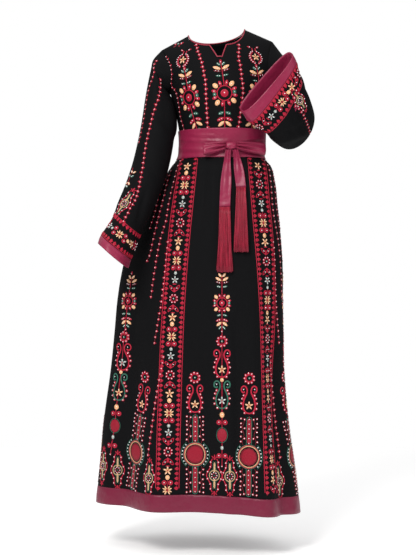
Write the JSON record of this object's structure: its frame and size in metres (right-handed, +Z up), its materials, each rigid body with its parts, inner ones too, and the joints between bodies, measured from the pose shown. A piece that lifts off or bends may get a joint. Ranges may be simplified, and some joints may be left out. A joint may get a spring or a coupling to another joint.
{
  "type": "palestinian thobe dress",
  "caption": "Long black embroidered dress with bell sleeves, satin cuffs and hem band, and a satin belt tied in a bow with tasselled ends, hollow as worn.",
  "frame": {"origin": "base of the neck, midway between the two neck ends of the shoulder seams, where the wearer's neck and shoulders hold the dress up", "axes": "+Z up; the wearer faces -Y; the wearer's right side, with the hanging sleeve, is at -X"},
  "size_m": [0.6223, 0.4637, 1.3682],
  "materials": {
    "black_crepe": "matte crepe with raised crimson, peach and green thread embroidery",
    "wine_satin": "soft satin sheen",
    "crimson_binding": "corded crimson edge",
    "crimson_thread": "silky thread"
  },
  "bodies": {
    "root": {"bodice_front": "black_crepe", "bodice_back": "black_crepe", "skirt_front": "black_crepe", "skirt_back": "black_crepe", "sleeve_right": "black_crepe", "sleeve_left": "black_crepe", "cuff_band_right": "wine_satin", "cuff_band_left": "wine_satin", "cuff_facing_right": "wine_satin", "cuff_facing_left": "wine_satin", "hem_band": "wine_satin", "belt": "wine_satin", "bow_knot": "wine_satin", "bow_loop_right": "wine_satin", "bow_loop_left": "wine_satin", "bow_tail_right": "wine_satin", "bow_tail_left": "wine_satin", "neck_binding": "crimson_binding", "tassel_right": "crimson_thread", "tassel_left": "crimson_thread"}
  },
  "joints": []
}
